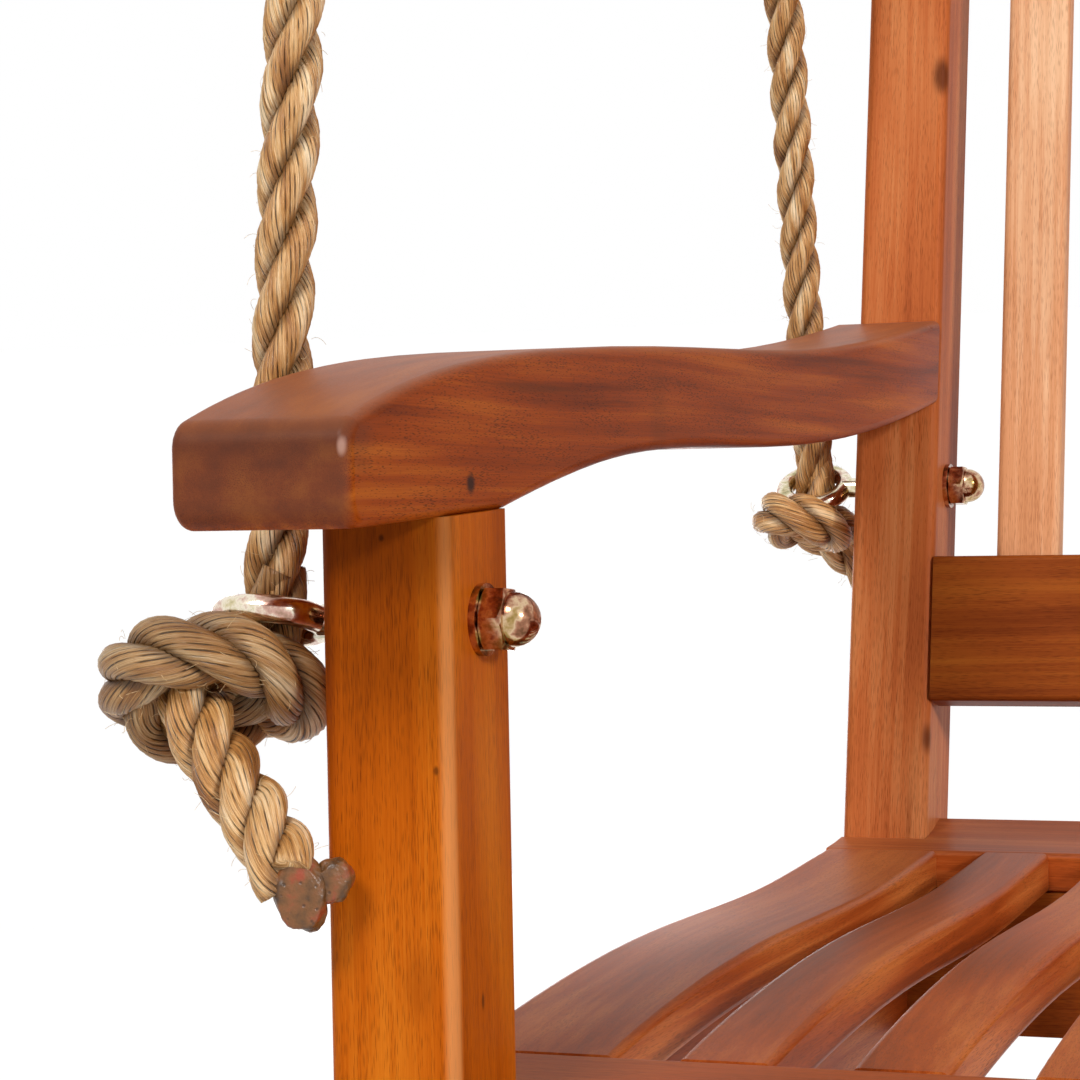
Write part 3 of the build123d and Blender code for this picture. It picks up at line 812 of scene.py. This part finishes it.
# %% Tones and marks
PORE = "#3C1604"
ORANGE = ("#8E3C04", "#B25408", "#CA7018", PORE)
BACK = ("#944420", "#B86232", "#CE8450", PORE)
BROWN = ("#662404", "#943E08", "#B6601A", "#240E02")
UMBER = ("#682A0C", "#884014", "#A0561C", PORE)
PALE = ("#B47044", "#D49468", "#EABC94", "#8A4826")
SEAT = ("#742E0C", "#A84C1C", "#CC7438", PORE)
BACK_ROW, SEAT_ROW = (54.4, -544), (46.99, -540.4)

# pin knots, a brown cloud, a painted highlight along the arris, partly lighter sanded wood, and painted shade
# under the arm with some grime
POST_MARKS = [((-598.1, 0, 20.7), (1, 1, 1.2), "#1E0C04", 0.9),
              ((-585, 0, -35.3), (1, 1, 1.6), "#4A2008", 0.7),
              ((-581, 17.4, -93.3), (1.2, 1.2, 3), "#3A1806", 0.7),
              ((-590.3, 0, -86.9), (6, 6, 12), "#7A3406", 0.3),
              # painted highlight down the rounded arris, partly lighter sanded wood
              ((-582, 1.4, -90), (3.2, 3.2, 260), "#E09A5C", 0.5),
              # painted shade of the arm on the post's top, with some grime
              ((-600, 0, 22), (40, 9, 24), "#5E2804", 0.55)]
# two knots near the inner arris, and the dark grain that runs past them
BACK_MARKS = [((-582.6, 555.7, 201), (6, 6, 11), "#4A1E0C", 0.8),
              ((-581, 500.7, -69), (4, 7, 9), "#4A1C0C", 0.75),
              ((-592, 500, 40), (3, 3, 60), "#8A3C14", 0.5),
              ((-588, 500, -104), (2.4, 9, 34), "#4E1C0A", 0.7)]
# a pin knot, the handled nose, two dark clouds in the side and a painted highlight on the nose's worn corner
ARM_MARKS = [((-581, 16, 33.4), (3, 3.4, 3.8), "#2A1410", 0.95),
             ((-600, -52, 44), (60, 7, 14), "#4A2A20", 0.4),
             ((-600, -50, 38), (60, 2.4, 9), "#4A281E", 0.25),
             ((-581, 164.3, 51.2), (4, 26, 11), "#6A300E", 0.3),
             ((-581, 60, 58), (3, 2, 45), "#5E2A0C", 0.5),
             # painted highlight on the nose's inner corner, partly bare worn wood
             ((-583, -54, 42), (1.4, 3, 8), "#C8A090", 0.5)]
print("marks on a post, a back post and an arm", len(POST_MARKS), len(BACK_MARKS), len(ARM_MARKS))

# %% Dress the timbers
acacia_post = timber("oiled_acacia_posts", bench_x, bench_z, ORANGE, marks=POST_MARKS)
acacia_back = timber("oiled_acacia_back", bench_x, back_z, BACK, start=(40, 90, 0), marks=BACK_MARKS)
acacia_slat = timber("oiled_acacia_back_slats", bench_x, back_z, PALE, row=BACK_ROW)
acacia_rail = timber("oiled_acacia_rails", bench_y, bench_x, UMBER, start=(7, 3, 0))
acacia_arm = timber("oiled_acacia_arms", bench_x, bench_y, BROWN, start=(50, 0, 200), cloud_size=(9, 9, 140),
                    pore_share=0.7, pore_length=2.6, end_share=0.75, top_sheen_share=0.6, coat=0.05,
                    marks=ARM_MARKS)
acacia_seat = timber("oiled_acacia_seat", bench_x, bench_y, SEAT, row=SEAT_ROW, top_sheen_share=0.3, coat=0.05)
acacia_side = timber("oiled_acacia_seat_ends", bench_x, bench_y, SEAT, start=(90, 0, 20), top_sheen_share=0.3,
                     coat=0.05)
acacia_board = timber("oiled_acacia_seat_boards", bench_y, bench_x, SEAT, start=(70, 33, 0), top_sheen_share=0.3,
                      coat=0.05)

for side_name in SIDES:
    dress(acacia_post, nodes[f"front_post_{side_name}"])
    dress(acacia_back, nodes[f"rear_post_{side_name}"])
    dress(acacia_arm, nodes[f"arm_{side_name}"])
    dress(acacia_side, nodes[f"seat_end_board_{side_name}"], nodes[f"side_apron_{side_name}"])
dress(acacia_slat, nodes["back_slats"])
dress(acacia_seat, nodes["seat_slats"])
dress(acacia_rail, nodes["back_rail_lower"], nodes["back_rail_top"], nodes["front_apron"],
      nodes["rear_apron"])
dress(acacia_board, nodes["seat_front_board"], nodes["seat_rear_board"])
dress(acacia_post, nodes["screw_plugs"], nodes["arm_dowels"])

# %% [markdown]
# ## Rope fibre
# The rope is a tan synthetic hemp: smooth split-film yarns with a silky glint, with painted shade in the
# creases between them. The UVs follow the yarns, so one number says which yarn a point is on and another how
# far it is from the yarn's crest. They count in strand girths both ways, so a size in millimetres is set
# against the girth.

# %% Rope creases and fibres
HEMP = ("#8A5522", "#BE8444", "#E2B47A", "#FBE0B8")
DASH_SIZE = (1.623 * MM, 5.912 * MM)
HAIR_SIZE = (0.191 * MM, 5.518 * MM)
BLOTCH_SIZE = (4.966 * MM, 22.574 * MM)


def per_girth(size):
    """How often a pattern of this size in metres repeats in one strand's girth."""
    return (STRAND_GIRTH / size[0], STRAND_GIRTH / size[1], 1)


def yarn_creases(tree, uv, across):
    """The lines of painted shade between yarns, broken because each opens and closes along the rope."""
    yarn = add(tree, "ShaderNodeMath", {0: across, 1: YARNS}, operation="MULTIPLY").outputs[0]
    number = add(tree, "ShaderNodeMath", {0: yarn}, operation="ROUND").outputs[0]
    offset = add(tree, "ShaderNodeMath", {0: yarn, 1: number}, operation="SUBTRACT").outputs[0]
    offset = add(tree, "ShaderNodeMath", {0: offset}, operation="ABSOLUTE").outputs[0]
    crease = add(tree, "ShaderNodeMapRange", {"Value": offset, "From Min": 0.28, "From Max": 0.48},
                 interpolation_type="SMOOTHSTEP").outputs[0]
    dashes = add(tree, "ShaderNodeMapping", {"Vector": uv, "Scale": per_girth(DASH_SIZE)}).outputs[0]
    dashes = add(tree, "ShaderNodeTexNoise", {"Vector": dashes, "Scale": 1, "Detail": 2, "Roughness": 0.6},
                 noise_dimensions="2D").outputs[0]
    open_share = add(tree, "ShaderNodeMapRange", {"Value": dashes, "From Min": 0.44, "From Max": 0.62,
                                                  "To Min": 0.2}).outputs[0]
    return add(tree, "ShaderNodeMath", {0: crease, 1: open_share}, operation="MULTIPLY").outputs[0]


def hemp_tone(tree, uv):
    """The hemp's colour from fine hairs and slow blotches, and the hairs by themselves."""
    hair = add(tree, "ShaderNodeMapping", {"Vector": uv, "Scale": per_girth(HAIR_SIZE)}).outputs[0]
    hair = add(tree, "ShaderNodeTexNoise", {"Vector": hair, "Scale": 1, "Detail": 3, "Roughness": 0.65},
               noise_dimensions="2D").outputs[0]
    blotch = add(tree, "ShaderNodeMapping", {"Vector": uv, "Scale": per_girth(BLOTCH_SIZE)}).outputs[0]
    blotch = add(tree, "ShaderNodeTexNoise", {"Vector": blotch, "Scale": 1, "Detail": 2},
                 noise_dimensions="2D").outputs[0]
    tone = add(tree, "ShaderNodeMath", {0: hair, 1: 0.8, 2: blotch}, operation="MULTIPLY_ADD").outputs[0]
    scaled = add(tree, "ShaderNodeMapRange", {"Value": tone, "From Min": 0.62, "From Max": 1.18}).outputs[0]
    stops = list(zip((0.0, 0.35, 0.66, 1.0), HEMP))
    return add(tree, "ShaderNodeValToRGB", {"Fac": scaled}, stops).outputs[0], hair


print("creases a girth", YARNS, "and dashes a girth", per_girth(DASH_SIZE))

# %% [markdown]
# ## Rope, clean and handled
# Shade, with some grime, gathers where the strands meet; the crest attribute of each point tells where, and
# the colour there is darkened as painted shade. The front knots are what hands grip when they steady the
# swing, and they lie in the shade of the post and arm, so a second rope material is browned from the eye
# through the knot, as handling grime and painted shade, and clears along the tail.

# %% Rope material
SHADE_BROWN, GRIP_AND_SHADE_BROWN, CREASE_SHADE_BROWN = "#5A3616", "#5E4020", "#221106"
SHADE_SHARE, GRIP_AND_SHADE_SHARE, CREASE_SHADE_SHARE = 0.6, 0.42, 0.9
GRIP_FADES, GRIP_ENDS = 129.1 * MM, 158.9 * MM
ROPE_ROUGHNESS, ROPE_SHINE = 0.36, 0.5
YARN_STRENGTH, YARN_RELIEF = 0.7, 0.4 * MM


def rope_fibre(name, browned_knot=False):
    """Split-film hemp that follows a rope's UVs."""
    material, tree, shader = new_material(name)
    uv = add(tree, "ShaderNodeUVMap", uv_map="rope").outputs[0]
    parts = add(tree, "ShaderNodeSeparateXYZ", {0: uv})
    crease = yarn_creases(tree, uv, parts.outputs["X"])
    colour, hair = hemp_tone(tree, uv)
    crest = add(tree, "ShaderNodeAttribute", attribute_name="crest").outputs["Fac"]
    # painted shade, with some grime, darkest where the strands meet
    valley = add(tree, "ShaderNodeMapRange", {"Value": crest, "From Min": 0.6, "From Max": -0.05,
                                              "To Max": SHADE_SHARE},
                 interpolation_type="SMOOTHSTEP").outputs[0]
    colour = add(tree, "ShaderNodeMix", {"Factor": valley, UNDER: colour, OVER: linear(SHADE_BROWN)},
                 data_type="RGBA").outputs[MIXED]
    if browned_knot:
        # handling grime and painted shade, from the eye through the knot
        grime_and_shade = add(tree, "ShaderNodeMapRange", {"Value": parts.outputs["Y"],
                                                 "From Min": GRIP_FADES / STRAND_GIRTH,
                                                 "From Max": GRIP_ENDS / STRAND_GIRTH,
                                                 "To Min": GRIP_AND_SHADE_SHARE, "To Max": 0.0}).outputs[0]
        colour = add(tree, "ShaderNodeMix", {"Factor": grime_and_shade, UNDER: colour, OVER: linear(GRIP_AND_SHADE_BROWN)},
                     data_type="RGBA").outputs[MIXED]
    # painted shade in the creases between yarns
    crease = add(tree, "ShaderNodeMath", {0: crease, 1: CREASE_SHADE_SHARE}, operation="MULTIPLY").outputs[0]
    colour = add(tree, "ShaderNodeMix", {"Factor": crease, UNDER: colour, OVER: linear(CREASE_SHADE_BROWN)},
                 data_type="RGBA").outputs[MIXED]
    tree.links.new(colour, shader.inputs["Base Color"])
    shader.inputs["Roughness"].default_value = ROPE_ROUGHNESS
    shader.inputs["Specular IOR Level"].default_value = ROPE_SHINE
    height = add(tree, "ShaderNodeMath", {0: crease, 1: -2.2, 2: hair}, operation="MULTIPLY_ADD").outputs[0]
    bump = add(tree, "ShaderNodeBump", {"Height": height, "Strength": YARN_STRENGTH,
                                        "Distance": YARN_RELIEF}).outputs[0]
    tree.links.new(bump, shader.inputs["Normal"])
    return material


dress(rope_fibre("split_film_hemp"), *legs.values(), *[knots["rear", side_name] for side_name in SIDES])
dress(rope_fibre("handled_shaded_hemp", browned_knot=True), *[knots["front", side_name] for side_name in SIDES])

# %% [markdown]
# ## Melted fibre
# Fibre that has run under a hot knife and set again is brown, reddish where it burnt,
# and pitted by small bubbles. It has the hard shine of plastic.

# %% Melted fibre
BURN_SIZE, BUBBLE_SIZE, GRIT_SIZE = 5.263 * MM, 2.381 * MM, 1.111 * MM
BURNS = [(0.32, "#3E2814"), (0.46, "#6A4420"), (0.56, "#7A4A26"), (0.66, "#8E3E22")]
PIT_BROWN, PIT_SHARE = "#3A2410", 0.75
MELT_ROUGHNESS = 0.36
MELT_STRENGTH, MELT_RELIEF = 0.5, 0.5 * MM


def melted_fibre(name):
    """Fibre that has melted and set, with its burns and bubbles."""
    material, tree, shader = new_material(name)
    place = add(tree, "ShaderNodeTexCoord").outputs["Object"]
    cloud = add(tree, "ShaderNodeTexNoise", {"Vector": place, "Scale": 1 / BURN_SIZE, "Detail": 4}).outputs[0]
    colour = add(tree, "ShaderNodeValToRGB", {"Fac": cloud}, BURNS).outputs[0]
    bubble = add(tree, "ShaderNodeTexVoronoi", {"Vector": place,
                                                "Scale": 1 / BUBBLE_SIZE}).outputs["Distance"]
    pit = add(tree, "ShaderNodeMapRange", {"Value": bubble, "From Min": 0.1, "From Max": 0.24,
                                           "To Min": PIT_SHARE, "To Max": 0.0}).outputs[0]
    colour = add(tree, "ShaderNodeMix", {"Factor": pit, UNDER: colour, OVER: linear(PIT_BROWN)},
                 data_type="RGBA").outputs[MIXED]
    tree.links.new(colour, shader.inputs["Base Color"])
    shader.inputs["Roughness"].default_value = MELT_ROUGHNESS
    grit = add(tree, "ShaderNodeTexNoise", {"Vector": place, "Scale": 1 / GRIT_SIZE, "Detail": 3}).outputs[0]
    height = add(tree, "ShaderNodeMath", {0: pit, 1: -0.8, 2: grit}, operation="MULTIPLY_ADD").outputs[0]
    bump = add(tree, "ShaderNodeBump", {"Height": height, "Strength": MELT_STRENGTH,
                                        "Distance": MELT_RELIEF}).outputs[0]
    tree.links.new(bump, shader.inputs["Normal"])
    return material


dress(melted_fibre("melted_hemp"), *[piece for pieces in buttons.values() for piece in pieces])

# %% [markdown]
# ## Yellow zinc plate
# The eye bolts, washers and domed nuts are steel with a yellow zinc plate. Its chromate
# film is thinner than a wavelength in places, so it shifts from gold to pink and green,
# and on the eyes the rope has rubbed it to a paler straw. It is polished by the dipping,
# so it mirrors the room, blurred a little where the film is coarse.

# %% Yellow zinc plate
FILM_SIZE, BLUR_SIZE = 8.333 * MM, 1.4286 * MM
PLATE_SMOOTHEST, PLATE_ROUGHEST = 0.06, 0.26
GOLD = [(0.3, "#5A5230"), (0.4, "#A88A52"), (0.47, "#D8B894"), (0.54, "#A8745A"), (0.62, "#6E4A32"),
        (0.75, "#84824E")]
STRAW = [(0.3, "#8C865A"), (0.42, "#D6C8A0"), (0.5, "#F2E6D0"), (0.58, "#D0A898"), (0.7, "#8E6E54")]


def plated_steel(name, film_tones):
    """Polished plate under a film whose colour drifts."""
    material, tree, shader = new_material(name)
    place = add(tree, "ShaderNodeTexCoord").outputs["Object"]
    film = add(tree, "ShaderNodeTexNoise", {"Vector": place, "Scale": 1 / FILM_SIZE, "Detail": 4,
                                            "Roughness": 0.6}).outputs[0]
    colour = add(tree, "ShaderNodeValToRGB", {"Fac": film}, film_tones).outputs[0]
    tree.links.new(colour, shader.inputs["Base Color"])
    shader.inputs["Metallic"].default_value = 1
    rough = add(tree, "ShaderNodeTexNoise", {"Vector": place, "Scale": 1 / BLUR_SIZE, "Detail": 2}).outputs[0]
    rough = add(tree, "ShaderNodeMapRange", {"Value": rough, "To Min": PLATE_SMOOTHEST,
                                             "To Max": PLATE_ROUGHEST}).outputs[0]
    tree.links.new(rough, shader.inputs["Roughness"])
    return material


dress(plated_steel("worn_zinc_plate", STRAW), nodes["eye_bolts"])
dress(plated_steel("yellow_zinc_plate", GOLD), nodes["washers"], nodes["cap_nuts"], nodes["wood_screws"])

# %% [markdown]
# ## Galvanised steel
# The hangers are dipped in molten zinc, which sets in flat crystals. Each crystal is its
# own shade of grey, a few millimetres across, so cells of one value each stand for them.

# %% Galvanised steel
SPANGLE_SIZE = 4.545 * MM
GALVANISED_ROUGHNESS = 0.42
DULL_ZINC, BRIGHT_ZINC = "#8C8F92", "#B4B6B8"


def galvanised(name):
    """Hot-dip zinc with its spangle."""
    material, tree, shader = new_material(name)
    place = add(tree, "ShaderNodeTexCoord").outputs["Object"]
    spangle = add(tree, "ShaderNodeTexVoronoi", {"Vector": place,
                                                 "Scale": 1 / SPANGLE_SIZE}).outputs["Color"]
    shade = add(tree, "ShaderNodeSeparateXYZ", {0: spangle}).outputs["X"]
    colour = add(tree, "ShaderNodeValToRGB", {"Fac": shade},
                 [(0.0, DULL_ZINC), (1.0, BRIGHT_ZINC)]).outputs[0]
    tree.links.new(colour, shader.inputs["Base Color"])
    shader.inputs["Metallic"].default_value = 1
    shader.inputs["Roughness"].default_value = GALVANISED_ROUGHNESS
    return material


zinc = galvanised("hot_dip_zinc")
for side_name in SIDES:
    dress(zinc, nodes[f"ceiling_plate_{side_name}"], nodes[f"ceiling_staple_{side_name}"],
          nodes[f"hanger_ring_{side_name}"])

# %% [markdown]
# ## Twine and single fibres
# Waxed twine is matt and flecked, and so is a fibre that has worked loose from the rope,
# only paler. At this size one noise between two tones is all that the eye can tell.

# %% Twine material
FLECK_SIZE = 1.111 * MM
TWINE_ROUGHNESS = 0.8


def flecked_fibre(name, dark, light):
    """Matt fibre, flecked between two tones."""
    material, tree, shader = new_material(name)
    place = add(tree, "ShaderNodeTexCoord").outputs["Object"]
    fleck = add(tree, "ShaderNodeTexNoise", {"Vector": place, "Scale": 1 / FLECK_SIZE,
                                             "Detail": 3}).outputs[0]
    colour = add(tree, "ShaderNodeValToRGB", {"Fac": fleck}, [(0.3, dark), (0.7, light)]).outputs[0]
    tree.links.new(colour, shader.inputs["Base Color"])
    shader.inputs["Roughness"].default_value = TWINE_ROUGHNESS
    return material


dress(flecked_fibre("waxed_twine", "#8C6A42", "#CDB084"), *twines)
dress(flecked_fibre("loose_hemp_fibre", "#B48850", "#F0D8AC"), *fuzz)

# %% [markdown]
# ## Floor
# A pale floor lies below the swing, as under a porch beam. For the camera and for
# mirror-like rays most of its brightness is its own glow, so it reads as white all the
# way to the horizon, and the rest is lit like anything else, so the swing's soft shadow
# still falls on it. No other ray sees the glow, so it doesn't light the swing.

# %% Floor
FLOOR_Z, FLOOR_HALF = -1.98, 30
FLOOR_WHITE, FLOOR_ROUGHNESS = "#F4F3F1", 0.9
GLOW, GLOW_SHARE = 1.05, 0.82
WHITE = (1, 1, 1, 1)


def seeing_rays(tree):
    """One for camera, glossy and transmission rays, and zero for those that carry light."""
    rays = add(tree, "ShaderNodeLightPath").outputs
    seen = add(tree, "ShaderNodeMath", {0: rays["Is Camera Ray"], 1: rays["Is Glossy Ray"]},
               operation="MAXIMUM").outputs[0]
    return add(tree, "ShaderNodeMath", {0: seen, 1: rays["Is Transmission Ray"]},
               operation="MAXIMUM").outputs[0]


bm = bmesh.new()
bmesh.ops.create_grid(bm, x_segments=1, y_segments=1, size=FLOOR_HALF)
bmesh.ops.translate(bm, verts=bm.verts, vec=(0, 0, FLOOR_Z))
floor_mesh = bpy.data.meshes.new("floor")
bm.to_mesh(floor_mesh)
bm.free()
floor = linked("floor", floor_mesh)
floor_material, tree, shader = new_material("pale_studio_floor")
shader.inputs["Base Color"].default_value = linear(FLOOR_WHITE)
shader.inputs["Roughness"].default_value = FLOOR_ROUGHNESS
glow = add(tree, "ShaderNodeEmission", {"Color": WHITE, "Strength": GLOW}).outputs[0]
share = add(tree, "ShaderNodeMath", {0: seeing_rays(tree), 1: GLOW_SHARE}, operation="MULTIPLY").outputs[0]
floor_mix = add(tree, "ShaderNodeMixShader", {0: share, 1: shader.outputs[0], 2: glow}).outputs[0]
tree.links.new(floor_mix, tree.nodes["Material Output"].inputs["Surface"])
dress(floor_material, floor)

# %% [markdown]
# ## Surround
# The surround is white to whatever sees it, and much dimmer as a light, so the lamps
# shape the timber and its undersides stay darker than its tops.

# %% Surround
SURROUND_LIGHT, SURROUND_SEEN = 0.21, 1.0
world = bpy.data.worlds.new("studio")
scene.world = world
world.use_nodes = True
tree = world.node_tree
tree.nodes.clear()
strength = add(tree, "ShaderNodeMapRange", {"Value": seeing_rays(tree), "To Min": SURROUND_LIGHT,
                                            "To Max": SURROUND_SEEN}).outputs[0]
surround = add(tree, "ShaderNodeBackground", {"Color": WHITE, "Strength": strength}).outputs[0]
add(tree, "ShaderNodeOutputWorld", {"Surface": surround})
print("surround gives", SURROUND_LIGHT, "and is seen as", SURROUND_SEEN)

# %% [markdown]
# ## Lamps
# Two broad distant lamps light the front: the key from the right, low enough to reach
# under the arm, and a wider one from the left and above. They are distant so that every
# part of the swing gets the same light in every pose. A square lamp low behind the left
# corner lifts the rear faces.

# %% Lamps
CORNER = (-600, 20, 0)
BEHIND = (-300, 300, 0)
KEY_WIDTH, FRONT_WIDTH = math.radians(9), math.radians(20)


def aimed(name, data, at, towards):
    """A lamp in the bench frame, at one place and aimed at another."""
    place = hung(*at)
    aim = hung(*towards) - place
    new = bpy.data.objects.new(name, data)
    new.matrix_world = Matrix.Translation(place) @ aim.to_track_quat("-Z", "Y").to_matrix().to_4x4()
    scene.collection.objects.link(new)
    print(name, "lamp at", place, "with strength", data.energy)


def distant_lamp(name, at, towards, width, strength):
    """A lamp like the sun, as wide in the sky as the angle given."""
    data = bpy.data.lights.new(name, "SUN")
    data.angle = width
    data.energy = strength
    aimed(name, data, at, towards)


def square_lamp(name, at, towards, size, power):
    """A square lamp, with its size in metres and its power in watts."""
    data = bpy.data.lights.new(name, "AREA")
    data.size = size
    data.energy = power
    aimed(name, data, at, towards)


distant_lamp("key", (1050, -1100, 740), CORNER, KEY_WIDTH, 1.7)
distant_lamp("front", (-900, -1330, 1300), CORNER, FRONT_WIDTH, 2.05)
square_lamp("back", (-1900, 2300, -500), BEHIND, 1.5, 32)
